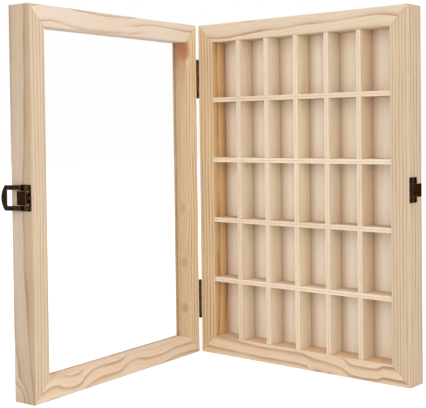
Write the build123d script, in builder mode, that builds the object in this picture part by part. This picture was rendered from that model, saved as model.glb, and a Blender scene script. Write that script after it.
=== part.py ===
from build123d import *
import os
from math import atan2, cos, radians, sin, sqrt

# A pine display case for rolls of film. A shallow case divided into pockets is closed by a framed clear door
# of the same size, like a book. Two butt hinges join their left edges, and a toggle latch on the door's free
# edge pulls on a hook on the case's right side.
#
# Millimetres. +X goes from the hinge side to the latch side, +Y from the front to the back, +Z up. The origin
# is the middle of the case's underside.

# Case frame: four mitred boards
case_width = 284.0
case_height = 400.0
case_depth = 28.0
case_face = 21.5
edge_round = 0.5

# Back panel, set flush into a rebate
back_thickness = 3.0
back_rebate = 5.0
back_edge_clearance = 0.3
brad_radius = 0.7
brad_length = 14.0
brad_head_radius = 1.3
brad_head_thickness = 0.6
brads_per_side_board = 3
brads_per_end_board = 2
brad_end_distance = 45.0

# Egg-crate of plywood strips, half-lapped into each other
rows = 5
columns = 6
ply_thickness = 5.5
crate_recess = 1.0
crate_end_clearance = 0.1
lap_clearance = 0.1

# Door frame: four mitred mouldings whose outer face slopes down to the opening
door_depth = 28.0
door_face = 21.5
door_wall_depth = 20.0
door_outer_land = 3.0
door_open_angle = 85.0

# Clear pane in a groove round the door's opening
pane_thickness = 2.0
pane_depth = 16.0
pane_groove = 4.0
pane_edge_clearance = 0.3
pane_side_clearance = 0.1

# Butt hinges, with their leaves flat on the outer edges of the case and the door
door_gap = 0.8
hinge_height = 46.0
hinge_inset = 65.0
knuckles = 5
knuckle_radius = 1.5
knuckle_standoff = 0.2
knuckle_end_gap = 0.2
knuckle_clearance = 0.25
hinge_pin_radius = 0.8
hinge_pin_head_radius = 1.25
hinge_pin_head_height = 0.9
leaf_width = 13.0
leaf_thickness = 0.9
leaf_corner = 1.2
leaf_screw_near = 5.4
leaf_screw_far = 8.8
leaf_screw_spacing = 16.0

# Countersunk screws
screw_head_radius = 2.2
screw_shank_radius = 1.3
screw_point = 2.2
screw_recess_length = 2.6
screw_recess_width = 0.5
screw_recess_depth = 0.5
hinge_screw_length = 12.0
latch_screw_length = 10.0

# Latch and hook: "back" is a distance from the board's edge at the seam, "out" a height above the wood
latch_height = 207.0
plate_setback = 0.3
plate_thickness = 1.0
plate_length = 26.6
plate_corner = 1.0
base_plate_width = 12.5
hook_plate_width = 15.0
plate_screw_spacing = 20.2
plate_screw_back = 7.0
base_hole_radius = 1.6
base_hole_back = 3.0
latch_sheet = 0.8
ear_spread = 12.0
ear_radius = 1.2
lever_side_clearance = 0.3
lever_pin_back = 2.2
lever_pin_out = 3.0
lever_top_out = 5.0
lever_end_radius = 1.6
lever_plate_start = 0.8
lever_bend_back = 15.2
lever_tip_back = 16.6
lever_tip_drop = 0.9
lever_floor_gap = 0.4
latch_pin_radius = 0.65
latch_pin_head_radius = 1.05
latch_pin_head_height = 0.4
bail_pin_back = 12.8
bail_pin_out = 2.5
bail_thickness = 1.5
bail_arm_width = 4.9
bail_side_clearance = 0.85
bail_bar_end = 2.0
bail_bar_middle = 6.1
bail_eye_radius = 1.2
bail_outer_corner = 2.0
bail_window_corner = 0.8
bail_rest_angle = 17.0
hook_sheet = 0.9
hook_width = 13.9
hook_clearance = 0.5
hook_headroom = 0.75
hook_bend_radius = 0.8
hook_back = 13.4
hook_flare = 12.5

# Running clearance, all round, of every pin and screw in its hole
pin_clearance = 0.05

# The hinge axis runs up the seam, outside the case's left face
leaf_plane_offset = knuckle_radius + knuckle_standoff
door_angle = radians(door_open_angle)
door_across = Vector(cos(door_angle), -sin(door_angle), 0)
door_inward = Vector(sin(door_angle), cos(door_angle), 0)
hinge_axis = Vector(-case_width / 2 - leaf_plane_offset, -case_depth / 2 - door_gap / 2, 0)
up = Vector(0, 0, 1)


def door_point(across, inward, height=0.0):
    # A point given from the hinge axis: across the door, inward to the case, and up
    return hinge_axis + door_across * across + door_inward * inward + up * height


# Faces that pieces are drawn on, each with its middle as origin and local y upward
middle_height = case_height / 2
case_front = Plane(origin=(0, -case_depth / 2, middle_height), x_dir=(1, 0, 0), z_dir=(0, -1, 0))
case_back = Plane(origin=(0, case_depth / 2, middle_height), x_dir=(-1, 0, 0), z_dir=(0, 1, 0))
door_middle = leaf_plane_offset + case_width / 2
door_inner_face = Plane(
    origin=door_point(door_middle, -door_gap / 2, middle_height), x_dir=door_across, z_dir=-door_inward
)
case_opening = (case_width - 2 * case_face, case_height - 2 * case_face)
door_opening = (case_width - 2 * door_face, case_height - 2 * door_face)


def board_outline(side, face):
    # Front view of one mitred board of a frame, from its outer corners to the opening's corners
    outer_x, outer_y = case_width / 2, case_height / 2
    inner_x, inner_y = outer_x - face, outer_y - face
    outlines = {
        "left": [(-outer_x, -outer_y), (-inner_x, -inner_y), (-inner_x, inner_y), (-outer_x, outer_y)],
        "right": [(outer_x, -outer_y), (outer_x, outer_y), (inner_x, inner_y), (inner_x, -inner_y)],
        "top": [(-outer_x, outer_y), (-inner_x, inner_y), (inner_x, inner_y), (outer_x, outer_y)],
        "bottom": [(-outer_x, -outer_y), (outer_x, -outer_y), (inner_x, -inner_y), (-inner_x, -inner_y)],
    }
    return outlines[side]


def spread(count, first, last):
    # Evenly spaced places from first to last
    if count == 1:
        return [(first + last) / 2]
    return [first + (last - first) * index / (count - 1) for index in range(count)]


# Brads go through the panel into the middle of the rebate's shoulder
brad_x = case_opening[0] / 2 + back_rebate / 2
brad_y = case_opening[1] / 2 + back_rebate / 2
side_brad_reach = case_height / 2 - brad_end_distance
end_brad_reach = case_width / 2 - brad_end_distance
brad_places = {
    "left": [(brad_x, y) for y in spread(brads_per_side_board, -side_brad_reach, side_brad_reach)],
    "right": [(-brad_x, y) for y in spread(brads_per_side_board, -side_brad_reach, side_brad_reach)],
    "top": [(x, brad_y) for x in spread(brads_per_end_board, -end_brad_reach, end_brad_reach)],
    "bottom": [(x, -brad_y) for x in spread(brads_per_end_board, -end_brad_reach, end_brad_reach)],
}


def case_board(side):
    # A board with eased long edges, the back panel's rebate and the brads' holes
    with BuildPart() as board:
        with BuildSketch(case_front):
            Polygon(*board_outline(side, case_face), align=None)
        extrude(amount=-case_depth)
        long_way = Axis.Z if side in ("left", "right") else Axis.X
        fillet(board.edges().filter_by(long_way), radius=edge_round)
        with BuildSketch(case_back):
            Rectangle(case_opening[0] + 2 * back_rebate, case_opening[1] + 2 * back_rebate)
        extrude(amount=-back_thickness, mode=Mode.SUBTRACT)
        with Locations(case_back):
            with Locations(*brad_places[side]):
                Hole(brad_radius + pin_clearance, depth=brad_length + pin_clearance)
    return board.part


def door_board(side):
    # A moulding with eased long edges, the sloped outer face and the pane's groove
    with BuildPart() as board:
        with BuildSketch(door_inner_face):
            Polygon(*board_outline(side, door_face), align=None)
        extrude(amount=door_depth)
        level = Axis(door_inner_face.origin, door_across)
        long_way = Axis.Z if side in ("left", "right") else level
        fillet(board.edges().filter_by(long_way), radius=edge_round)
        with BuildSketch(door_inner_face.offset(door_wall_depth)):
            Rectangle(*door_opening)
        with BuildSketch(door_inner_face.offset(door_depth)):
            Rectangle(case_width - 2 * door_outer_land, case_height - 2 * door_outer_land)
        loft(mode=Mode.SUBTRACT)
        with BuildSketch(door_inner_face.offset(pane_depth - pane_side_clearance)):
            Rectangle(door_opening[0] + 2 * pane_groove, door_opening[1] + 2 * pane_groove)
        extrude(amount=pane_thickness + 2 * pane_side_clearance, mode=Mode.SUBTRACT)
    return board.part


def countersunk_screw(length):
    # Flat top at the origin, shank down to a point, cross recess in the head
    head_depth = screw_head_radius - screw_shank_radius
    with BuildPart() as screw:
        with BuildSketch(Plane.XZ):
            Polygon(
                (0, 0),
                (screw_head_radius, 0),
                (screw_shank_radius, -head_depth),
                (screw_shank_radius, screw_point - length),
                (0, -length),
                align=None,
            )
        revolve(axis=Axis.Z)
        with BuildSketch():
            Rectangle(screw_recess_length, screw_recess_width)
            Rectangle(screw_recess_width, screw_recess_length)
        extrude(amount=-screw_recess_depth, mode=Mode.SUBTRACT)
    return screw.part


def countersunk_hole():
    # A hole that takes a countersunk screw flush
    CounterSinkHole(
        radius=screw_shank_radius + pin_clearance,
        counter_sink_radius=screw_head_radius + pin_clearance,
        counter_sink_angle=90,
    )


def pilot_hole(length, plate):
    # The hole in the wood for a screw of this length that sits in a plate of this thickness
    Hole(screw_shank_radius + pin_clearance, depth=length - plate + pin_clearance)


def finish(piece, label):
    # Names a piece and writes it
    piece.label = label
    export_step(piece, f"parts/{label}.step")


os.makedirs("parts", exist_ok=True)

# Hinge leaves lie flat: the case's on its left face, the door's on its hinge edge
case_leaf_face = Plane(
    origin=hinge_axis + Vector(leaf_plane_offset - leaf_thickness, 0, 0), x_dir=(0, -1, 0), z_dir=(-1, 0, 0)
)
door_leaf_face = Plane(
    origin=door_point(leaf_plane_offset - leaf_thickness, 0), x_dir=-door_inward, z_dir=-door_across
)
hinge_levels = {"upper": case_height - hinge_inset, "lower": hinge_inset}


def leaf_screw_places(level, side):
    # Three screws in a shallow triangle, on the side of the axis where the leaf lies
    return [
        (side * leaf_screw_far, level - leaf_screw_spacing),
        (side * leaf_screw_near, level),
        (side * leaf_screw_far, level + leaf_screw_spacing),
    ]


case_leaf_side, door_leaf_side = -1, 1
case_leaf_screws = [p for level in hinge_levels.values() for p in leaf_screw_places(level, case_leaf_side)]
door_leaf_screws = [p for level in hinge_levels.values() for p in leaf_screw_places(level, door_leaf_side)]

# The seam at the latch: local x runs inward over the case, y out from the wood, or up the board
seam_on_door = door_point(leaf_plane_offset + case_width, 0, latch_height)
seam_on_case = Vector(case_width / 2, hinge_axis.Y, latch_height)
latch_face = Plane(origin=seam_on_door, x_dir=door_inward, z_dir=door_across)
latch_side = Plane(origin=seam_on_door, x_dir=door_inward, z_dir=-up)
hook_face = Plane(origin=seam_on_case, x_dir=(0, 1, 0), z_dir=(1, 0, 0))
hook_side = Plane(origin=seam_on_case, x_dir=(0, 1, 0), z_dir=-up)
half_gap = door_gap / 2
plate_screw_heights = (-plate_screw_spacing / 2, plate_screw_spacing / 2)
base_screws = [(-half_gap - plate_screw_back, height) for height in plate_screw_heights]
hook_screws = [(half_gap + plate_screw_back, height) for height in plate_screw_heights]

# Case frame
with BuildPart() as case_left_board:
    add(case_board("left"))
    with Locations(case_leaf_face.offset(-leaf_thickness)):
        with Locations(*case_leaf_screws):
            pilot_hole(hinge_screw_length, leaf_thickness)
finish(case_left_board.part, "case_left_board")

with BuildPart() as case_right_board:
    add(case_board("right"))
    with Locations(hook_face):
        with Locations(*hook_screws):
            pilot_hole(latch_screw_length, plate_thickness)
finish(case_right_board.part, "case_right_board")

for side in ("top", "bottom"):
    finish(case_board(side), f"case_{side}_board")

# Back panel and its brads
with BuildPart() as back_panel:
    with BuildSketch(case_back):
        margin = back_rebate - back_edge_clearance
        Rectangle(case_opening[0] + 2 * margin, case_opening[1] + 2 * margin)
    extrude(amount=-back_thickness)
    with Locations(case_back):
        for places in brad_places.values():
            with Locations(*places):
                CounterBoreHole(
                    radius=brad_radius + pin_clearance,
                    counter_bore_radius=brad_head_radius + pin_clearance,
                    counter_bore_depth=brad_head_thickness,
                )
finish(back_panel.part, "back_panel")

with BuildPart() as back_panel_brads:
    with BuildSketch(case_back):
        for places in brad_places.values():
            with Locations(*places):
                Circle(brad_head_radius)
    extrude(amount=-brad_head_thickness)
    with BuildSketch(case_back):
        for places in brad_places.values():
            with Locations(*places):
                Circle(brad_radius)
    extrude(amount=-brad_length)
finish(back_panel_brads.part, "back_panel_brads")

# Egg-crate: shelves run unbroken at the front and are notched from the back, dividers the other way round
crate_depth = case_depth - back_thickness - crate_recess
crate_front = case_front.offset(-crate_recess)
shelf_length = case_opening[0] - 2 * crate_end_clearance
divider_length = case_opening[1] - 2 * crate_end_clearance
pocket_width = (case_opening[0] - (columns - 1) * ply_thickness) / columns
pocket_height = (case_opening[1] - (rows - 1) * ply_thickness) / rows
shelf_places = [
    case_opening[1] / 2 - row * pocket_height - (row - 0.5) * ply_thickness for row in range(1, rows)
]
divider_places = [
    column * pocket_width + (column - 0.5) * ply_thickness - case_opening[0] / 2
    for column in range(1, columns)
]
notch_width = ply_thickness + 2 * lap_clearance
notch_depth = crate_depth / 2 + lap_clearance

for number, height in enumerate(shelf_places, start=1):
    with BuildPart() as shelf:
        with BuildSketch(crate_front):
            with Locations((0, height)):
                Rectangle(shelf_length, ply_thickness)
        extrude(amount=-crate_depth)
        with BuildSketch(crate_front.offset(-crate_depth)):
            with Locations(*[(x, height) for x in divider_places]):
                Rectangle(notch_width, 2 * ply_thickness)
        extrude(amount=notch_depth, mode=Mode.SUBTRACT)
    finish(shelf.part, f"shelf_{number}")

for number, place in enumerate(divider_places, start=1):
    with BuildPart() as divider:
        with BuildSketch(crate_front):
            with Locations((place, 0)):
                Rectangle(ply_thickness, divider_length)
        extrude(amount=-crate_depth)
        with BuildSketch(crate_front):
            with Locations(*[(place, y) for y in shelf_places]):
                Rectangle(2 * ply_thickness, notch_width)
        extrude(amount=-notch_depth, mode=Mode.SUBTRACT)
    finish(divider.part, f"divider_{number}")

# Door frame
with BuildPart() as door_hinge_stile:
    add(door_board("left"))
    with Locations(door_leaf_face.offset(-leaf_thickness)):
        with Locations(*door_leaf_screws):
            pilot_hole(hinge_screw_length, leaf_thickness)
finish(door_hinge_stile.part, "door_hinge_stile")

with BuildPart() as door_free_stile:
    add(door_board("right"))
    with Locations(latch_face):
        with Locations(*base_screws):
            pilot_hole(latch_screw_length, plate_thickness)
finish(door_free_stile.part, "door_free_stile")

for side in ("top", "bottom"):
    finish(door_board(side), f"door_{side}_rail")

with BuildPart() as clear_pane:
    with BuildSketch(door_inner_face.offset(pane_depth)):
        margin = pane_groove - pane_edge_clearance
        Rectangle(door_opening[0] + 2 * margin, door_opening[1] + 2 * margin)
    extrude(amount=pane_thickness)
finish(clear_pane.part, "clear_pane")

# Hinges: the case's leaf has the odd knuckles, the door's leaf the even ones
knuckle_pitch = hinge_height / knuckles


def hinge_leaf(plan, side, level, first_cut, cut_gap, screw_face, screw_places):
    # plan looks down the hinge axis; every second knuckle, from first_cut on, belongs to the other leaf
    middle = plan.offset(level)
    with BuildPart() as leaf:
        with BuildSketch(middle):
            Circle(knuckle_radius)
            with Locations((leaf_plane_offset - leaf_thickness / 2, side * leaf_width / 2)):
                Rectangle(leaf_thickness, leaf_width)
            with Locations((leaf_plane_offset / 2, side * leaf_thickness / 2)):
                Rectangle(leaf_plane_offset, leaf_thickness)
        extrude(amount=hinge_height / 2, both=True)
        thickness_way = Axis(plan.origin, plan.x_dir)
        width_way = Axis(plan.origin, plan.y_dir * side)
        fillet(leaf.edges().filter_by(thickness_way).sort_by(width_way)[-2:], radius=leaf_corner)
        for index in range(first_cut, knuckles, 2):
            with BuildSketch(middle.offset((index + 0.5) * knuckle_pitch - hinge_height / 2)):
                Circle(knuckle_radius + knuckle_clearance)
            extrude(amount=knuckle_pitch / 2 + cut_gap, both=True, mode=Mode.SUBTRACT)
        with BuildSketch(middle):
            Circle(hinge_pin_radius + pin_clearance)
        extrude(amount=hinge_height / 2, both=True, mode=Mode.SUBTRACT)
        with Locations(screw_face):
            with Locations(*screw_places):
                countersunk_hole()
    return leaf.part


case_plan = Plane(origin=hinge_axis, x_dir=(1, 0, 0), z_dir=up)
door_plan = Plane(origin=hinge_axis, x_dir=door_across, z_dir=up)
for name, level in hinge_levels.items():
    case_screws = leaf_screw_places(level, case_leaf_side)
    door_screws = leaf_screw_places(level, door_leaf_side)
    case_leaf = hinge_leaf(case_plan, 1, level, 1, 0, case_leaf_face, case_screws)
    finish(case_leaf, f"{name}_hinge_case_leaf")
    door_leaf = hinge_leaf(door_plan, -1, level, 0, knuckle_end_gap, door_leaf_face, door_screws)
    finish(door_leaf, f"{name}_hinge_door_leaf")
    with BuildPart() as hinge_pin:
        with BuildSketch(case_plan.offset(level)):
            Circle(hinge_pin_radius)
        extrude(amount=hinge_height / 2, both=True)
        for end in (1, -1):
            with BuildSketch(case_plan.offset(level + end * hinge_height / 2)):
                Circle(hinge_pin_head_radius)
            extrude(amount=end * hinge_pin_head_height)
        rims = hinge_pin.edges().filter_by(GeomType.CIRCLE).sort_by(Axis.Z)
        chamfer([rims[0], rims[-1]], length=hinge_pin_head_height / 3)
    finish(hinge_pin.part, f"{name}_hinge_pin")

hinge_screw = countersunk_screw(hinge_screw_length)
for name, face, places in (
    ("hinge_case_screws", case_leaf_face, case_leaf_screws),
    ("hinge_door_screws", door_leaf_face, door_leaf_screws),
):
    with BuildPart() as screws:
        with Locations(face):
            with Locations(*places):
                add(hinge_screw)
    finish(screws.part, name)

# Latch base: a plate with two ears that carry the lever's pin
lever_pin_place = (-half_gap - lever_pin_back, lever_pin_out)
bail_pin_place = (-half_gap - bail_pin_back, bail_pin_out)
with BuildPart() as latch_base:
    with BuildSketch(latch_face):
        with Locations((-half_gap - plate_setback - base_plate_width / 2, 0)):
            RectangleRounded(base_plate_width, plate_length, plate_corner)
        with Locations((-half_gap - base_hole_back, 0)):
            Circle(base_hole_radius, mode=Mode.SUBTRACT)
    extrude(amount=plate_thickness)
    for end in (1, -1):
        with BuildSketch(latch_side.offset(end * ear_spread / 2)):
            with Locations(lever_pin_place):
                Circle(ear_radius)
            with Locations((lever_pin_place[0], lever_pin_out / 2)):
                Rectangle(2 * ear_radius, lever_pin_out)
            with Locations(lever_pin_place):
                Circle(latch_pin_radius + pin_clearance, mode=Mode.SUBTRACT)
        extrude(amount=-end * latch_sheet)
    with Locations(latch_face.offset(plate_thickness)):
        with Locations(*base_screws):
            countersunk_hole()
finish(latch_base.part, "latch_base")

# Lever: a channel over the ears, closed by its top plate, with its tip bent down
lever_width = ear_spread + 2 * (lever_side_clearance + latch_sheet)
lever_floor = plate_thickness + lever_floor_gap
lever_top_in = lever_top_out - latch_sheet
bend = (-half_gap - lever_bend_back, lever_top_out)
tip = (-half_gap - lever_tip_back, lever_top_out - lever_tip_drop)
tip_slope = atan2(lever_tip_drop, lever_tip_back - lever_bend_back)
bend_in = (bend[0] + latch_sheet * (1 - cos(tip_slope)) / sin(tip_slope), lever_top_in)
tip_in = (tip[0] + latch_sheet * sin(tip_slope), tip[1] - latch_sheet * cos(tip_slope))
floor_end = (bail_pin_place[0], lever_floor)
plate_start = (lever_pin_place[0] - lever_plate_start, lever_top_out)
plate_start_rise = sqrt(lever_end_radius**2 - lever_plate_start**2)
end_top = (plate_start[0], lever_pin_out + plate_start_rise)
end_side = (lever_pin_place[0] + lever_end_radius, lever_pin_out)
end_bottom = (lever_pin_place[0], lever_pin_out - lever_end_radius)
with BuildPart() as latch_lever:
    with BuildSketch(latch_side):
        with BuildLine():
            Polyline(end_bottom, floor_end, tip_in, tip, bend, plate_start, end_top)
            ThreePointArc(end_top, end_side, end_bottom)
        make_face()
    extrude(amount=lever_width / 2, both=True)
    with BuildSketch(latch_side):
        Polygon(
            (half_gap, lever_top_out),
            plate_start,
            (plate_start[0], lever_top_in),
            bend_in,
            tip_in,
            (tip_in[0], 0),
            (half_gap, 0),
            align=None,
        )
    extrude(amount=lever_width / 2 - latch_sheet, both=True, mode=Mode.SUBTRACT)
    with BuildSketch(latch_side):
        with Locations(lever_pin_place, bail_pin_place):
            Circle(latch_pin_radius + pin_clearance)
    extrude(amount=lever_width / 2, both=True, mode=Mode.SUBTRACT)
finish(latch_lever.part, "latch_lever")


def latch_pin(place, reach):
    # A rivet along the latch's pin axis, with a head beyond each end of its reach
    with BuildPart() as pin:
        with BuildSketch(latch_side):
            with Locations(place):
                Circle(latch_pin_radius)
        extrude(amount=reach, both=True)
        for end in (1, -1):
            with BuildSketch(latch_side.offset(end * reach)):
                with Locations(place):
                    Circle(latch_pin_head_radius)
            extrude(amount=end * latch_pin_head_height)
    return pin.part


bail_window_half = lever_width / 2 + bail_side_clearance
bail_half = bail_window_half + bail_arm_width
finish(latch_pin(lever_pin_place, lever_width / 2 + pin_clearance), "lever_pin")
finish(latch_pin(bail_pin_place, bail_half + pin_clearance), "bail_pin")

# Bail: a flat loop whose bar slips under the hook; it reaches from its pin to just behind the hook's root
hook_root_back = plate_setback + hook_sheet
bail_reach = bail_pin_back + door_gap + hook_root_back + hook_clearance
rest_angle = radians(bail_rest_angle)
bail_way = door_across * sin(rest_angle) - door_inward * cos(rest_angle)
bail_pin_point = seam_on_door + door_inward * bail_pin_place[0] + door_across * bail_pin_out
bail_face = Plane(origin=bail_pin_point, x_dir=bail_way, z_dir=bail_way.cross(up))
bail_end = bail_reach + bail_bar_end
bail_tip = bail_reach + bail_bar_middle
with BuildPart() as bail:
    with BuildSketch(bail_face) as bail_shape:
        with BuildLine():
            Polyline((bail_end, -bail_half), (0, -bail_half), (0, bail_half), (bail_end, bail_half))
            ThreePointArc((bail_end, bail_half), (bail_tip, 0), (bail_end, -bail_half))
        make_face()
        bar_corners = bail_shape.vertices().sort_by(Axis(bail_face.origin, bail_way))[-2:]
        fillet(bar_corners, radius=bail_outer_corner)
    extrude(amount=bail_thickness / 2, both=True)
    with BuildSketch(bail_face):
        with Locations((bail_reach / 2, 0)):
            RectangleRounded(bail_reach, 2 * bail_window_half, bail_window_corner)
        Rectangle(2 * bail_eye_radius, 2 * bail_window_half)
    extrude(amount=bail_thickness, both=True, mode=Mode.SUBTRACT)
    for end in (1, -1):
        with BuildSketch(Plane(origin=bail_pin_point + up * end * bail_window_half, z_dir=up)):
            Circle(bail_eye_radius)
        extrude(amount=end * bail_arm_width)
    with BuildSketch(Plane(origin=bail_pin_point, z_dir=up)):
        Circle(latch_pin_radius + pin_clearance)
    extrude(amount=bail_half, both=True, mode=Mode.SUBTRACT)
finish(bail.part, "bail")

# Hook plate: its hook rises at the seam side and flares out and back over the bail's bar
hook_front = half_gap + plate_setback
hook_inside = hook_front + hook_sheet
hook_in_out = bail_pin_out + bail_thickness / 2 + hook_headroom
bend_centre = (hook_inside + hook_bend_radius, hook_in_out - hook_bend_radius)
flare = radians(hook_flare)
flare_way = Vector(cos(flare), sin(flare))
flare_up = Vector(-sin(flare), cos(flare))
bend_end = Vector(*bend_centre) + flare_up * hook_bend_radius
flare_length = (half_gap + hook_back - bend_end.X) / cos(flare)
bend_middle_way = Vector(-cos(flare / 2 + radians(45)), sin(flare / 2 + radians(45)))
with BuildPart() as hook_plate:
    with BuildSketch(hook_face):
        with Locations((hook_front + hook_plate_width / 2, 0)):
            RectangleRounded(hook_plate_width, plate_length, plate_corner)
    extrude(amount=plate_thickness)
    with BuildSketch(hook_side):
        with BuildLine():
            inner_foot = Vector(hook_inside, 0)
            inner_start = Vector(hook_inside, bend_centre[1])
            inner_middle = Vector(*bend_centre) + bend_middle_way * hook_bend_radius
            inner_tip = bend_end + flare_way * flare_length
            outer_tip = inner_tip + flare_up * hook_sheet
            outer_bend_end = bend_end + flare_up * hook_sheet
            outer_middle = Vector(*bend_centre) + bend_middle_way * (hook_bend_radius + hook_sheet)
            outer_start = Vector(hook_front, bend_centre[1])
            Line(inner_foot, inner_start)
            ThreePointArc(inner_start, inner_middle, bend_end)
            Line(bend_end, inner_tip)
            Line(inner_tip, outer_tip)
            Line(outer_tip, outer_bend_end)
            ThreePointArc(outer_bend_end, outer_middle, outer_start)
            Polyline(outer_start, (hook_front, 0), inner_foot)
        make_face()
    extrude(amount=hook_width / 2, both=True)
    with Locations(hook_face.offset(plate_thickness)):
        with Locations(*hook_screws):
            countersunk_hole()
finish(hook_plate.part, "hook_plate")

latch_screw = countersunk_screw(latch_screw_length)
for name, face, places in (
    ("latch_screws", latch_face.offset(plate_thickness), base_screws),
    ("hook_screws", hook_face.offset(plate_thickness), hook_screws),
):
    with BuildPart() as screws:
        with Locations(face):
            with Locations(*places):
                add(latch_screw)
    finish(screws.part, name)
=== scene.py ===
from math import cos, radians, sin

import bpy
import numpy as np
from mathutils import Matrix, Vector


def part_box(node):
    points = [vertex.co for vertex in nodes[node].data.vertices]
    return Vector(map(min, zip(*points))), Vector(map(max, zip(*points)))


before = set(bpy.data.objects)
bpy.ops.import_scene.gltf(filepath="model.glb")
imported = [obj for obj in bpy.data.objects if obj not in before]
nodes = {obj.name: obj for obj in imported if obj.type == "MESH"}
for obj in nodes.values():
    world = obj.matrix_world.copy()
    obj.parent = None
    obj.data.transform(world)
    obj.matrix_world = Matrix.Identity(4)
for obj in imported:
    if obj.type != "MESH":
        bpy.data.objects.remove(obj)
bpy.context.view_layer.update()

print("frame loaded:", len(nodes), "nodes")

# The case's own sizes, in millimetres as in the model
caseWidth, caseHeight, caseDepth = 284.0, 400.0, 28.0
boardFace = 21.5  # a board's width, from its outer edge to the opening
backThickness = 3.0
pocketWidth, pocketHeight, stripThickness = 35.583, 67.0, 5.5
leafOffset, halfGap = 1.7, 0.4  # from the hinge pin to the edge of the door, and to its inner face
hingePin = Vector((-caseWidth / 2 - leafOffset, -caseDepth / 2 - halfGap, 0.0))
doorTurn = radians(85)
doorAcross = Vector((cos(doorTurn), -sin(doorTurn), 0.0))  # from the hinges to the free edge
doorInward = Vector((sin(doorTurn), cos(doorTurn), 0.0))  # from the outer face to the inner face
up = Vector((0.0, 0.0, 1.0))


# Camera

cameraView = {
    "place": (0.62572, -0.91893, 0.27143),
    "yaw": 40.82,
    "pitch": 1.47,
    "roll": -0.75,
    "lens": 81.71,
    "shift": (0.0513, -0.1129),
}


def aimCamera(view):
    yaw, pitch, roll = (radians(view[key]) for key in ("yaw", "pitch", "roll"))
    forward = Vector((-sin(yaw) * cos(pitch), cos(yaw) * cos(pitch), -sin(pitch)))
    level = Vector((cos(yaw), sin(yaw), 0.0))
    above = level.cross(forward)
    right = cos(roll) * level + sin(roll) * above
    top = cos(roll) * above - sin(roll) * level
    data = bpy.data.cameras.new("camera")
    data.lens, data.sensor_width, data.sensor_fit = view["lens"], 36.0, "HORIZONTAL"
    data.shift_x, data.shift_y = view["shift"]
    data.clip_start, data.clip_end = 0.05, 50.0
    camera = bpy.data.objects.new("camera", data)
    camera.matrix_world = Matrix.Translation(view["place"]) @ Matrix((right, top, -forward)).transposed().to_4x4()
    bpy.context.scene.collection.objects.link(camera)
    bpy.context.scene.camera = camera


aimCamera(cameraView)
print("camera set")


# Shader building

def tone(red, green, blue):  # a colour from 0 to 255, as the shader's sockets take it
    share = np.array([red, green, blue]) / 255
    light = np.where(share > 0.04045, ((share + 0.055) / 1.055) ** 2.4, share / 12.92)
    return (*light.tolist(), 1.0)


class Wire:  # one node's output; arithmetic on it adds Math nodes
    def __init__(self, paint, socket):
        self.paint, self.socket = paint, socket

    def maths(self, operation, *values):
        return self.paint.node("Math", {"operation": operation}, values)

    def __add__(self, other):
        return self.maths("ADD", self, other)

    def __sub__(self, other):
        return self.maths("SUBTRACT", self, other)

    def __rsub__(self, other):
        return self.maths("SUBTRACT", other, self)

    def __mul__(self, other):
        return self.maths("MULTIPLY", self, other)

    def __truediv__(self, other):
        return self.maths("DIVIDE", self, other)

    def __abs__(self):
        return self.maths("ABSOLUTE", self)

    def __mod__(self, other):
        return self.maths("FLOORED_MODULO", self, other)

    def step(self, low, high):  # 0 at low and below, 1 at high and above, smooth between them
        return self.paint.node("MapRange", {"interpolation_type": "SMOOTHSTEP"}, {0: self, 1: low, 2: high})

    __radd__ = __add__
    __rmul__ = __mul__


class Paint:  # one material and its nodes
    def __init__(self, name):
        self.material = bpy.data.materials.new(name)
        self.material.use_nodes = True
        self.tree = self.material.node_tree
        self.tree.nodes.clear()

    def node(self, kind, settings=None, inputs=(), output=0):
        made = self.tree.nodes.new("ShaderNode" + kind)
        for key, value in (settings or {}).items():
            if key == "curve":
                self.bendCurve(made.mapping, value)
            else:
                setattr(made, key, value)
        for key, value in inputs.items() if isinstance(inputs, dict) else enumerate(inputs):
            if isinstance(value, Wire):
                self.tree.links.new(value.socket, made.inputs[key])
            else:
                made.inputs[key].default_value = value
        return Wire(self, made.outputs[output])

    def bendCurve(self, mapping, points):
        curve = mapping.curves[0]
        for _ in points[2:]:
            curve.points.new(0.5, 0.5)
        for point, place in zip(curve.points, points):
            point.location = place
            point.handle_type = "AUTO"
        mapping.use_clip = False
        mapping.update()

    def split(self, vector):
        return [self.node("SeparateXYZ", {}, [vector], output=i) for i in range(3)]

    def noise(self, ways, rates, shifts=(0, 0, 0), detail=2.0, roughness=0.5):
        # each way is multiplied by its rate, in changes to the millimetre, and shifted by its own amount
        scaled = [way * rate for way, rate in zip(ways, rates)]
        place = self.node("CombineXYZ", {}, [way + shift if shift else way for way, shift in zip(scaled, shifts)])
        return self.node("TexNoise", {}, {"Vector": place, "Scale": 1.0, "Detail": detail, "Roughness": roughness})

    def mix(self, factor, first, second):
        return self.node("Mix", {"data_type": "RGBA"}, {0: factor, 6: first, 7: second}, output=2)

    def shade(self, colour, factor):  # the colour times a number
        grey = self.node("CombineXYZ", {}, [factor] * 3)
        return self.node("VectorMath", {"operation": "MULTIPLY"}, [colour, grey])

    def tint(self, colour, share, factors):  # the colour times red, green and blue factors, where share is 1
        return self.mix(share, colour, self.node("VectorMath", {"operation": "MULTIPLY"}, [colour, factors]))

    def finish(self, shader):
        out = self.tree.nodes.new("ShaderNodeOutputMaterial")
        self.tree.links.new(shader.socket, out.inputs[0])
        return self.material


def dress(names, material):
    for name in names:
        slots = nodes[name].data.materials
        slots.clear()
        slots.append(material)


def localPlace(paint, origin, lengthWay, acrossWay, depthWay):
    # Object coordinates turned into millimetres along a piece, across it and into it, from its own origin
    turn = Matrix((lengthWay, acrossWay, depthWay))
    shift = -(turn @ Vector(origin))
    place = paint.node("TexCoord", output=3)
    return paint.split(paint.node("Mapping", {}, {
        "Vector": place, "Location": shift, "Rotation": turn.to_euler(), "Scale": (1000.0, 1000.0, 1000.0)}))


# Pine boards

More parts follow.
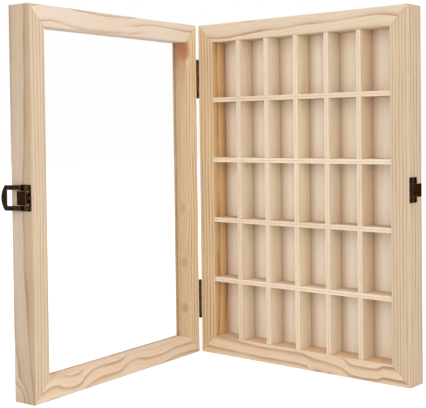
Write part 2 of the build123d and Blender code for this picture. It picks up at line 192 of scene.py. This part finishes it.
# Every board is seen from its front face. "across" runs from its outer edge to the opening and "depth" from its
# front face into the wood. The growth rings are nearly flat sheets: facePitch and edgePitch are how far apart they
# cut the face and the edges. A drift moves them across the face, or into the depth, along the board. Its points are
# (millimetres along, millimetres moved), and knotsAndShadeSpots are (along, across, depth, size along, size across,
# strength): knots, and on the free stile one dark spot of painted shade.
# fades are (ring, where along it is whole, where it is gone). "ramp" is the share of slow darkening in a ring, and
# from "rise" to "fall" it darkens quickly. "wall", "farShade", "rim" and "rimFar" are red, green and blue factors
# for the opening's side, the painted shade on the deeper part of that side, the outer edge, and that edge towards
# its rear.
# The drifts were worked out from places read along ring lines in the photo, and the tones here and in the
# strips and the back panel were scaled by comparing the render with the photo.
boards = {
    "case_left_board": {
        "facePitch": 4.9, "edgePitch": 15.0, "wave": 0.3, "early": (220, 198, 164), "late": (161, 118, 75),
        "contrast": 0.95, "seed": 3.1, "warm": 0.35, "ramp": 0.55, "rise": 0.55, "wall": (1.100, 0.961, 0.752),
    },
    "case_right_board": {
        "facePitch": 3.8, "edgePitch": 6.3, "wave": 0.3, "early": (217, 195, 167), "late": (173, 135, 98),
        "contrast": 0.85, "seed": 11.7, "warm": 0.1, "ramp": 0.5, "rise": 0.6,
    },
    "case_top_board": {
        "facePitch": 13.0, "edgePitch": -3.2, "wave": 0.25, "early": (225, 206, 183), "late": (175, 136, 95),
        "contrast": 1.0, "seed": 21.3, "warm": 0.25, "ramp": 0.22, "rise": 0.62, "fall": 0.92,
        "fades": [(-1, 100, 50)],
        "drift": [(15, 15), (43, 16.2), (67, 14.8), (96, 12.9), (128, 13.6), (155, 12), (183, 10.3), (210, 9.6),
                  (236, 8.8), (253, 8.8), (273, 10.9)],
    },
    "case_bottom_board": {
        "facePitch": 12.5, "edgePitch": 3.4, "wave": 0.2, "early": (232, 209, 181), "late": (173, 127, 89),
        "contrast": 1.0, "seed": 34.9, "warm": 0.3, "ramp": 0.2, "rise": 0.54, "fall": 0.84,
        # painted light: the opening's side, the floor of the lowest pockets, is made lighter and warmer
        "wall": (1.1, 1.04, 0.95),
        "drift": [(0, -5.7), (10, -5.7), (23, -5.6), (32, -6), (40, -9.3), (50, -9.8), (60, -9.6), (69, -9),
                  (78, -4.9), (87, -0.1), (105, 2), (122, 2.7), (135, 5.3), (173, 6.1), (214, 7.3), (275, 9.9)],
        "knotsAndShadeSpots": [(115, 0.5, 0, 9, 3, 0.6), (99, 0, 0, 7, 3, 0.5)],
    },
    "door_hinge_stile": {
        "facePitch": 5.2, "edgePitch": 11.0, "wave": 0.4, "early": (249, 230, 197), "late": (194, 152, 105),
        "contrast": 1.0, "seed": 45.2, "warm": 0.3, "ramp": 0.7, "rise": 0.5,
        "plain": (200, 171, 137), "shadow": 0.75, "farShade": (0.93, 0.89, 0.84), "bend": 0.8,
        "knotsAndShadeSpots": [(29, 21.5, 5, 18, 12, 0.8), (222, 21.5, 7, 8, 5, 0.3), (288, 21.5, 6, 9, 6, 0.45),
                  (343, 21.5, 6, 9, 6, 0.5)],
    },
    "door_free_stile": {
        "facePitch": 4.5, "edgePitch": 20.0, "wave": 0.2, "early": (231, 210, 182), "late": (185, 146, 107),
        "contrast": 0.9, "seed": 57.8, "warm": 0.1, "ramp": 0.4, "rise": 0.7, "intoDepth": True,
        "rim": (0.693, 0.648, 0.610), "rimFar": (1.12, 1.23, 1.39),
        "drift": [(0, 1.8), (24, 3.3), (66, 6.1), (112, 8.8), (150, 10.8), (188, 12.4), (236, 10.8), (300, 8.6),
                  (360, 8.1), (400, 7.8)],
        "bend": 1.5,
        # the second entry is no knot but a dark spot of painted shade, under the hole in the latch's base plate
        "knotsAndShadeSpots": [(0, 0, 28, 16, 14, 0.0), (207, 0, 3.4, 2.6, 2.6, 0.85)],
    },
    "door_top_rail": {
        "facePitch": 8.5, "edgePitch": -3.4, "wave": 0.2, "early": (241, 224, 206), "late": (195, 157, 123),
        "contrast": 1.0, "seed": 63.5, "warm": 0.25, "ramp": 0.22, "rise": 0.6, "fall": 0.86,
        "fades": [(-1, 180, 135), (0, 165, 205)],
        "drift": [(12, 17.5), (17, 16.7), (31, 15.2), (43, 15.9), (61, 17.9), (86, 19.5), (121, 20.2), (144, 19.6),
                  (193, 15.8), (218, 16.2), (245, 17.3), (273, 17.6)],
    },
    "door_bottom_rail": {
        "facePitch": 12.0, "edgePitch": 3.6, "wave": 0.2, "early": (246, 224, 198), "late": (188, 141, 102),
        "contrast": 1.0, "seed": 79.4, "warm": 0.25, "ramp": 0.2, "rise": 0.55, "fall": 0.84,
        "fades": [(-1, 70, 110)],
        "drift": [(18, 15.9), (47, 16.4), (71, 13.7), (99, 13.4), (126, 15.4), (140, 12.6), (153, 7.4), (170, 6.5),
                  (186, 6.4), (196, 5.4), (208, 1.7), (222, -4.7), (240, -2.8), (254, 1.2), (271, -1)],
    },
}

# What all the boards share: tones, and how much of each shows
pine = {
    "warm": (232, 190, 144),
    "duct": (170, 122, 84), "ductShare": 0.22,
    "fineShare": 0.09,
    "knotAndShadeSpot": (174, 112, 66),
    "joint": (160, 122, 88), "jointShare": 0.14,
    "shadow": (150, 98, 56), "wallShadow": 0.15, "cornerShadow": 0.25,
    "topShadow": (176, 118, 76), "plainShare": 0.85,
    "fibreDepth": 0.14,
    "bend": 2.5,  # how many rings a knot pushes aside
    "driftRange": (-20.0, 30.0),
}


def boardPlace(paint, name):
    halfWidth, halfDepth = caseWidth / 2, caseDepth / 2
    x, z = Vector((1, 0, 0)), up
    if name.startswith("case"):
        depthWay = Vector((0, 1, 0))
        left, right = Vector((-halfWidth, -halfDepth, 0)), Vector((halfWidth, -halfDepth, 0))
        side = x
    else:
        depthWay = -doorInward
        left = hingePin + doorAcross * leafOffset - doorInward * halfGap
        right = left + doorAcross * caseWidth
        side = doorAcross
    top = z * caseHeight
    places = {
        "case_left_board": (left, side), "case_right_board": (right + top, -side),
        "case_top_board": (left + top, -z), "case_bottom_board": (right, z),
        "door_hinge_stile": (left + top, side), "door_free_stile": (right, -side),
        "door_top_rail": (right + top, -z), "door_bottom_rail": (left, z),
    }
    origin, acrossWay = places[name]
    return localPlace(paint, origin, acrossWay.cross(depthWay), acrossWay, depthWay)


def pineBoard(name, board):
    paint = Paint("pine_" + name)
    along, across, depth = boardPlace(paint, name)
    long = caseHeight if ("stile" in name or "left" in name or "right" in name) else caseWidth
    seed = board["seed"]
    ways = (along, across, depth)

    # growth rings: nearly flat sheets that wander slowly along the board
    face, edge = across, depth
    if "drift" in board:
        low, high = pine["driftRange"]
        points = [(a / long, (m - low) / (high - low)) for a, m in board["drift"]]
        drift = paint.node("FloatCurve", {"curve": points}, [1.0, along / long]) * (high - low) + low
        if board.get("intoDepth"):
            edge = depth - drift
        else:
            face = across - drift
    broad = paint.noise(ways, rates=(0.012, 0.10, 0.10), shifts=(0, seed, 0))
    swell, dark = 0.0, []
    for at, over, into, sizeAlong, sizeAcross, amount in board.get("knotsAndShadeSpots", []):
        apart = [(along - at) / sizeAlong, (across - over) / sizeAcross, (depth - into) / sizeAcross]
        distance = apart[0] * apart[0] + apart[1] * apart[1] + apart[2] * apart[2] + (broad - 0.5) * 1.2
        swell = (1 - distance.step(0.0, 3.0)) * board.get("bend", pine["bend"]) + swell
        dark.append((1 - distance.step(0.0, 1.0)) * amount)
    wander = paint.noise(ways, rates=(0.010, 0.035, 0.035), shifts=(seed, 0, 0), detail=1.0) - 0.5
    ripple = paint.noise(ways, rates=(0.035, 0.12, 0.12), shifts=(seed, 0, 0)) - 0.5
    rings = (face / board["facePitch"] + edge / board["edgePitch"] + wander * (board["wave"] * 3)
             + ripple * (board["wave"] * 0.8) + swell + 0.9)
    cycle = rings % 1.0
    number = rings.maths("FLOOR", rings)
    strength = paint.noise((along, number, 0.0), rates=(0.013, 3.7, 1.0), shifts=(0, seed, 0))
    strength = strength.step(0.25, 0.7) * 0.65 + 0.35
    # each ring darkens slowly, then more quickly, and ends sharply
    end = board.get("fall", 0.92)
    late = (cycle.step(0.1, end) * board["ramp"] + cycle.step(board["rise"], end) * (1 - board["ramp"])) * (
        1 - cycle.step(end, 1.0)) * strength
    for ring, whole, gone in board.get("fades", []):
        late = late * (1 - (1 - abs(number - ring).step(0.2, 0.6)) * along.step(whole, gone))
    fineCycle = (rings * 3.0 + ripple * 1.5) % 1.0
    fine = fineCycle.step(0.3, 0.8) * (1 - fineCycle.step(0.85, 1.0))

    # fibres, and the short dark dashes of resin ducts
    fibre = paint.noise(ways, rates=(0.06, 1.6, 1.6), shifts=(seed, 0, 0), detail=3.0, roughness=0.6)
    dash = paint.noise(ways, rates=(0.16, 2.6, 2.6), shifts=(0, seed, 0), detail=1.0).step(0.66, 0.74)

    colour = paint.mix(late * board["contrast"], tone(*board["early"]), tone(*board["late"]))
    colour = paint.mix(fine * pine["fineShare"], colour, tone(*board["late"]))
    colour = paint.mix(broad.step(0.35, 0.75) * board["warm"], colour, tone(*pine["warm"]))
    colour = paint.mix(dash * pine["ductShare"], colour, tone(*pine["duct"]))

    # the side of the opening
    wall = across.step(boardFace - 0.3, boardFace - 0.05)
    if "plain" in board:  # this wall is cut along one ring, so few lines show on it, and it darkens towards the top
        toTop = 1 - along.step(15.0, 105.0)
        plain = paint.mix(toTop * board["shadow"], tone(*board["plain"]), tone(*pine["topShadow"]))
        colour = paint.mix(wall * pine["plainShare"], colour, plain)
    # knots darken the wood, and so does the spot of painted shade
    for share in dark:
        colour = paint.mix(share, colour, tone(*pine["knotAndShadeSpot"]))
    shadow = depth.step(6.0, 24.0) * pine["wallShadow"] + depth.step(22.6, 23.8) * pine["cornerShadow"]
    colour = paint.mix(wall * shadow, colour, tone(*pine["shadow"]))
    if "wall" in board:
        colour = paint.tint(colour, wall, board["wall"])
    # painted shade: the deeper part of the opening's side is made darker and redder
    if "farShade" in board:
        colour = paint.tint(colour, wall * depth.step(9.0, 12.5), board["farShade"])
    # the free stile's outer edge is darker: its own greyer wood, and painted shade over its rounded arris, fading
    # towards the rear
    if "rim" in board:
        rim = 1 - across.step(0.3, 0.6)
        colour = paint.tint(colour, rim, board["rim"])
        colour = paint.tint(colour, rim * depth.step(3.0, 27.0), board["rimFar"])

    # the mitre joints at both ends, and a little dirt in them
    fromStart, fromEnd = along - across, long - along - across
    joint = 1 - fromStart.maths("MINIMUM", fromStart, fromEnd).step(0.05, 0.7)
    colour = paint.mix(joint * pine["jointShare"], colour, tone(*pine["joint"]))
    colour = paint.shade(colour, fibre * pine["fibreDepth"] + (1 - pine["fibreDepth"] / 2))

    height = fibre * 0.5 - late * 0.5 - joint * 1.5
    bump = paint.node("Bump", {}, {"Strength": 0.35, "Distance": 0.00025, "Height": height})
    shader = paint.node("BsdfPrincipled", {}, {
        "Base Color": colour, "Roughness": 0.66 - late * 0.10 + fibre * 0.08, "Specular IOR Level": 0.32,
        "Normal": bump})
    return paint.finish(shader)


for name, board in boards.items():
    dress([name], pineBoard(name, board))
print("pine boards painted:", len(boards))


# Plywood strips and the back panel

strips = {
    "divider_1": {"face": (239, 225, 199), "front": (225, 206, 187), "seed": 1.3, "deepShade": 0.17},
    "divider_2": {"face": (241, 228, 203), "front": (232, 214, 195), "seed": 5.9, "deepShade": 0.17},
    "divider_3": {"face": (242, 227, 197), "front": (237, 219, 202), "seed": 9.2, "deepShade": 0.17},
    "divider_4": {"face": (235, 220, 195), "front": (236, 215, 197), "seed": 14.6, "deepShade": 0.17},
    "divider_5": {"face": (231, 210, 181), "front": (232, 215, 197), "seed": 18.4, "deepShade": 0.17},
    "shelf_1": {"face": (212, 180, 147), "front": (242, 226, 207), "seed": 23.5, "deepShade": 0.3},
    "shelf_2": {"face": (238, 220, 197), "front": (242, 227, 207), "seed": 27.7, "deepShade": 0.3},
    "shelf_3": {"face": (217, 193, 163), "front": (244, 229, 209), "seed": 31.2, "deepShade": 0.3},
    "shelf_4": {"face": (238, 214, 190), "front": (242, 227, 207), "seed": 38.8, "deepShade": 0.3},
}

# What all the strips share
ply = {
    "broad": (224, 190, 150), "broadShare": 0.25,
    "line": (205, 166, 124), "lineShare": 0.22,
    "core": (200, 158, 116), "coreShare": 0.42,
    "shadow": (150, 98, 56), "cornerShadow": 0.2,
    "frontShare": 0.7, "fibreDepth": 0.12,
}


def stripPlace(paint, name):
    low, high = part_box(name)
    middle = (low + high) * 500.0  # metres to millimetres, and halved
    origin = Vector((middle.x, low.y * 1000.0, middle.z))
    depthWay = Vector((0, 1, 0))
    lengthWay = up if name.startswith("divider") else Vector((1, 0, 0))
    return localPlace(paint, origin, lengthWay, depthWay.cross(lengthWay), depthWay)


def plywoodStrip(name, strip):
    paint = Paint("plywood_" + name)
    along, through, depth = stripPlace(paint, name)
    seed = strip["seed"]
    ways, shifts = (along, through, depth), (seed, 0, 0)
    # three plies: the two outer ones run lengthwise, and the thin dark core shows its end grain
    core = 1 - abs(through).step(0.35, 0.75)
    front = 1 - depth.step(0.1, 0.6)
    figure = paint.noise(ways, rates=(0.012, 0.2, 0.16), shifts=shifts, detail=3.0, roughness=0.55)
    lines = paint.noise(ways, rates=(0.02, 0.6, 1.1), shifts=shifts)
    fibre = paint.noise(ways, rates=(0.10, 2.4, 2.4), shifts=shifts, detail=3.0, roughness=0.6)
    colour = paint.mix(front * ply["frontShare"], tone(*strip["face"]), tone(*strip["front"]))
    colour = paint.mix(figure.step(0.4, 0.7) * ply["broadShare"], colour, tone(*ply["broad"]))
    colour = paint.mix(lines.step(0.52, 0.66) * ply["lineShare"], colour, tone(*ply["line"]))
    colour = paint.mix(core * front * ply["coreShare"], colour, tone(*ply["core"]))
    # painted shade: each strip darkens towards the back of its pocket, and more in the corner at the back panel
    shadow = depth.step(3.0, 23.0) * strip["deepShade"] + depth.step(22.6, 23.7) * ply["cornerShadow"]
    colour = paint.mix(shadow, colour, tone(*ply["shadow"]))
    colour = paint.shade(colour, fibre * ply["fibreDepth"] + (1 - ply["fibreDepth"] / 2))
    bump = paint.node("Bump", {}, {"Strength": 0.3, "Distance": 0.0002, "Height": fibre * 0.5 - core * front * 0.6})
    shader = paint.node("BsdfPrincipled", {}, {
        "Base Color": colour, "Roughness": 0.68 + fibre * 0.08, "Specular IOR Level": 0.3, "Normal": bump})
    return paint.finish(shader)


backBoard = {
    "early": (245, 233, 215),
    "broad": (239, 221, 194), "broadShare": 0.5,
    "line": (212, 178, 140), "lineShare": 0.16,
    "shadow": (147, 106, 67), "shadowShare": 0.8, "shadowReach": (-6.0, 14.0),
    "seamShade": (130, 84, 50), "stripSeamShade": 0.25, "shelfSeamShade": 0.15,
    "rear": (222, 192, 152), "rearShare": 0.4,
    "fibreDepth": 0.10,
}


def backPanel(look):
    paint = Paint("back_board")
    ways = localPlace(paint, (0, 0, 0), up, Vector((1, 0, 0)), Vector((0, 1, 0)))
    along, across, depth = ways
    figure = paint.noise(ways, rates=(0.006, 0.05, 0.2), shifts=(0, 0, 4.0))
    lines = paint.noise(ways, rates=(0.008, 0.5, 0.5), shifts=(0, 0, 9.0), detail=3.0)
    fibre = paint.noise(ways, rates=(0.08, 2.2, 2.2), detail=3.0, roughness=0.6)
    colour = paint.mix(figure.step(0.35, 0.7) * look["broadShare"], tone(*look["early"]), tone(*look["broad"]))
    colour = paint.mix(lines.step(0.5, 0.7) * look["lineShare"], colour, tone(*look["line"]))
    # on the front only: painted shade, soft towards each pocket's left, and a thin line of it where strips touch it
    frontFace = caseDepth / 2 - backThickness
    front = 1 - depth.step(frontFace + 0.2, frontFace + 0.6)
    fromLeft = (across + (caseWidth / 2 - boardFace)) % (pocketWidth + stripThickness)
    fromStrip = pocketWidth / 2 - abs(fromLeft - pocketWidth / 2)
    fromShelf = pocketHeight / 2 - abs((along - boardFace) % (pocketHeight + stripThickness) - pocketHeight / 2)
    shadow = (1 - fromLeft.step(*look["shadowReach"])) * front * look["shadowShare"]
    colour = paint.mix(shadow, colour, tone(*look["shadow"]))
    seamShade = (1 - fromStrip.step(0.1, 0.9)) * look["stripSeamShade"] + (
        1 - fromShelf.step(0.1, 1.2)) * look["shelfSeamShade"]
    colour = paint.mix(seamShade * front, colour, tone(*look["seamShade"]))
    colour = paint.mix((1 - front) * look["rearShare"], colour, tone(*look["rear"]))  # the rear is toned down, as the pale base colour is painted light meant for the front
    colour = paint.shade(colour, fibre * look["fibreDepth"] + (1 - look["fibreDepth"] / 2))
    bump = paint.node("Bump", {}, {"Strength": 0.25, "Distance": 0.0002, "Height": fibre})
    shader = paint.node("BsdfPrincipled", {}, {
        "Base Color": colour, "Roughness": 0.70 + fibre * 0.06, "Specular IOR Level": 0.3, "Normal": bump})
    return paint.finish(shader)


for name, strip in strips.items():
    dress([name], plywoodStrip(name, strip))
dress(["back_panel"], backPanel(backBoard))
print("strips and back panel painted:", len(strips) + 1)


# Metal

metals = {
    "dark_bronze": {
        "nodes": ["bail", "hook_plate", "latch_screws", "hook_screws"],
        "dark": (38, 26, 17), "light": (68, 49, 34), "rim": (132, 98, 72), "roughness": 0.34, "wearAndGlint": 0.55,
    },
    "rubbed_bronze": {
        "nodes": ["latch_lever", "bail_pin", "lever_pin"],
        "dark": (38, 26, 17), "light": (66, 47, 32), "rim": (132, 98, 72), "roughness": 0.32, "wearAndGlint": 1.0,
    },
    "worn_bronze": {
        "nodes": ["latch_base"],
        "dark": (42, 28, 16), "light": (80, 57, 36), "rim": (132, 98, 72), "roughness": 0.4, "wearAndGlint": 0.7,
    },
    "brown_bronze": {
        "nodes": ["upper_hinge_case_leaf", "upper_hinge_door_leaf", "upper_hinge_pin", "hinge_case_screws",
                  "lower_hinge_case_leaf", "lower_hinge_door_leaf", "lower_hinge_pin", "hinge_door_screws"],
        "dark": (58, 38, 26), "light": (104, 72, 50), "rim": (150, 112, 84), "roughness": 0.4, "wearAndGlint": 0.25,
    },
    "bright_wire": {
        "nodes": ["back_panel_brads"],
        "dark": (150, 150, 150), "light": (196, 196, 194), "rim": (235, 235, 235), "roughness": 0.32, "wearAndGlint": 0.2,
    },
}

# What all the metal shares
plating = {
    "cloudScale": 420.0, "speckScale": 3200.0,  # to the metre
    "wornGlintWidth": 0.0004,
    "bareAndGlint": (196, 172, 142),
    "bumpDepth": 0.00006,
}


def metal(name, look):
    paint = Paint(name)
    place = paint.node("TexCoord", output=3)
    cloud = paint.node("TexNoise", {}, {
        "Vector": place, "Scale": plating["cloudScale"], "Detail": 4.0, "Roughness": 0.6})
    speck = paint.node("TexNoise", {}, {"Vector": place, "Scale": plating["speckScale"], "Detail": 2.0})
    colour = paint.mix(cloud.step(0.42, 0.72), tone(*look["dark"]), tone(*look["light"]))
    bump = paint.node("Bump", {}, {
        "Strength": 0.25, "Distance": plating["bumpDepth"], "Height": speck + cloud * 0.6})
    # a pale metal on the edges, both plating rubbed off and painted highlight: where a rounded copy of the surface
    # faces another way than the surface does
    flat = paint.node("NewGeometry", output=1)
    rounded = paint.node("Bevel", {"samples": 6}, {"Radius": plating["wornGlintWidth"]})
    apart = paint.node("VectorMath", {"operation": "DOT_PRODUCT"}, [flat, rounded], output=1)
    edge = (1 - apart).step(0.01, 0.12) * speck.step(0.25, 0.5) * look["wearAndGlint"]
    colour = paint.mix(edge, colour, tone(*plating["bareAndGlint"]))
    shader = paint.node("BsdfPrincipled", {}, {
        "Base Color": colour, "Metallic": 1.0, "Specular Tint": tone(*look["rim"]),
        "Roughness": look["roughness"] + cloud * 0.18 - edge * 0.1, "Normal": bump})
    return paint.finish(shader)


for name, look in metals.items():
    dress(look["nodes"], metal(name, look))
print("metal painted:", len(metals))


# Clear pane

pane = {
    "tint": (255, 255, 255), "gloss": (250, 250, 250),
    "straight": 0.008, "grazing": 0.35,  # the share that it mirrors, seen straight on and added at a grazing angle
    "smearScale": 14.0, "clean": 0.03, "smeared": 0.05,
}


def clearPane(look):
    paint = Paint("clear_pane")
    place = paint.node("TexCoord", output=3)
    smear = paint.node("TexNoise", {}, {
        "Vector": place, "Scale": look["smearScale"], "Detail": 3.0, "Distortion": 0.6})
    through = paint.node("BsdfTransparent", {}, {"Color": tone(*look["tint"])})
    roughness = smear.step(0.5, 0.8) * look["smeared"] + look["clean"]
    gloss = paint.node("BsdfPrincipled", {}, {
        "Base Color": tone(*look["gloss"]), "Metallic": 1.0, "Roughness": roughness})
    # clear sheet mirrors more the further it turns away from the eye, by the fifth power of that turn
    facing = paint.node("LayerWeight", {}, {"Blend": 0.5}, output=1)
    share = facing.maths("POWER", facing, 5.0) * look["grazing"] + look["straight"]
    return paint.finish(paint.node("MixShader", {}, [share, through, gloss]))


dress(["clear_pane"], clearPane(pane))
print("pane painted")


# Floor, world and lamps

studio = {
    "floorHalf": 6.0, "floorDrop": 0.0003,  # metres
    "floorColour": (232, 232, 232),
    "floorGlow": 0.6,
    "worldLight": 0.88,
    "lamps": [
        {"name": "key", "place": (1.45, -2.0, 0.4), "size": 3.0, "power": 36.0, "colour": (1.0, 0.995, 0.99)},
    ],
    "aim": (0.0, -0.1, 0.2),
}


def floorAndWorld(look):
    half = look["floorHalf"]
    corners = np.array([(-half, -half), (half, -half), (half, half), (-half, half)])
    mesh = bpy.data.meshes.new("floor")
    mesh.from_pydata(np.column_stack([corners, np.full(4, -look["floorDrop"])]).tolist(), [], [(0, 1, 2, 3)])
    floor = bpy.data.objects.new("floor", mesh)
    bpy.context.scene.collection.objects.link(floor)
    paint = Paint("floor")
    diffuse = paint.node("BsdfDiffuse", {}, {"Color": tone(*look["floorColour"])})
    seen = paint.node("LightPath", output=0)
    mirrored = paint.node("LightPath", output=3)
    passed = paint.node("LightPath", output=6)
    glow = paint.node("Emission", {}, {"Strength": (seen + mirrored + passed) * look["floorGlow"]})
    mesh.materials.append(paint.finish(paint.node("AddShader", {}, [diffuse, glow])))

    world = bpy.data.worlds.new("studio")
    bpy.context.scene.world = world
    world.use_nodes = True
    tree = world.node_tree
    tree.nodes.clear()
    path = tree.nodes.new("ShaderNodeLightPath")
    reach = tree.nodes.new("ShaderNodeMath")
    reach.operation = "ADD"
    both = tree.nodes.new("ShaderNodeMath")
    both.operation, both.use_clamp = "ADD", True
    tree.links.new(path.outputs["Is Camera Ray"], reach.inputs[0])
    tree.links.new(path.outputs["Is Glossy Ray"], reach.inputs[1])
    tree.links.new(reach.outputs[0], both.inputs[0])
    tree.links.new(path.outputs["Is Transmission Ray"], both.inputs[1])
    level = tree.nodes.new("ShaderNodeMapRange")
    level.inputs["To Min"].default_value = look["worldLight"]
    tree.links.new(both.outputs[0], level.inputs["Value"])
    sky = tree.nodes.new("ShaderNodeBackground")
    sky.inputs["Color"].default_value = (1.0, 1.0, 1.0, 1.0)
    tree.links.new(level.outputs[0], sky.inputs["Strength"])
    out = tree.nodes.new("ShaderNodeOutputWorld")
    tree.links.new(sky.outputs[0], out.inputs[0])


def hangLamps(look):
    for lamp in look["lamps"]:
        data = bpy.data.lights.new(lamp["name"], "AREA")
        data.shape, data.size, data.energy, data.color = "SQUARE", lamp["size"], lamp["power"], lamp["colour"]
        holder = bpy.data.objects.new(lamp["name"], data)
        place = Vector(lamp["place"])
        holder.matrix_world = Matrix.Translation(place) @ (
            Vector(look["aim"]) - place).to_track_quat("-Z", "Y").to_matrix().to_4x4()
        bpy.context.scene.collection.objects.link(holder)


floorAndWorld(studio)
hangLamps(studio)
bpy.context.scene.view_settings.view_transform = "Standard"
print("floor, world and lamps set")
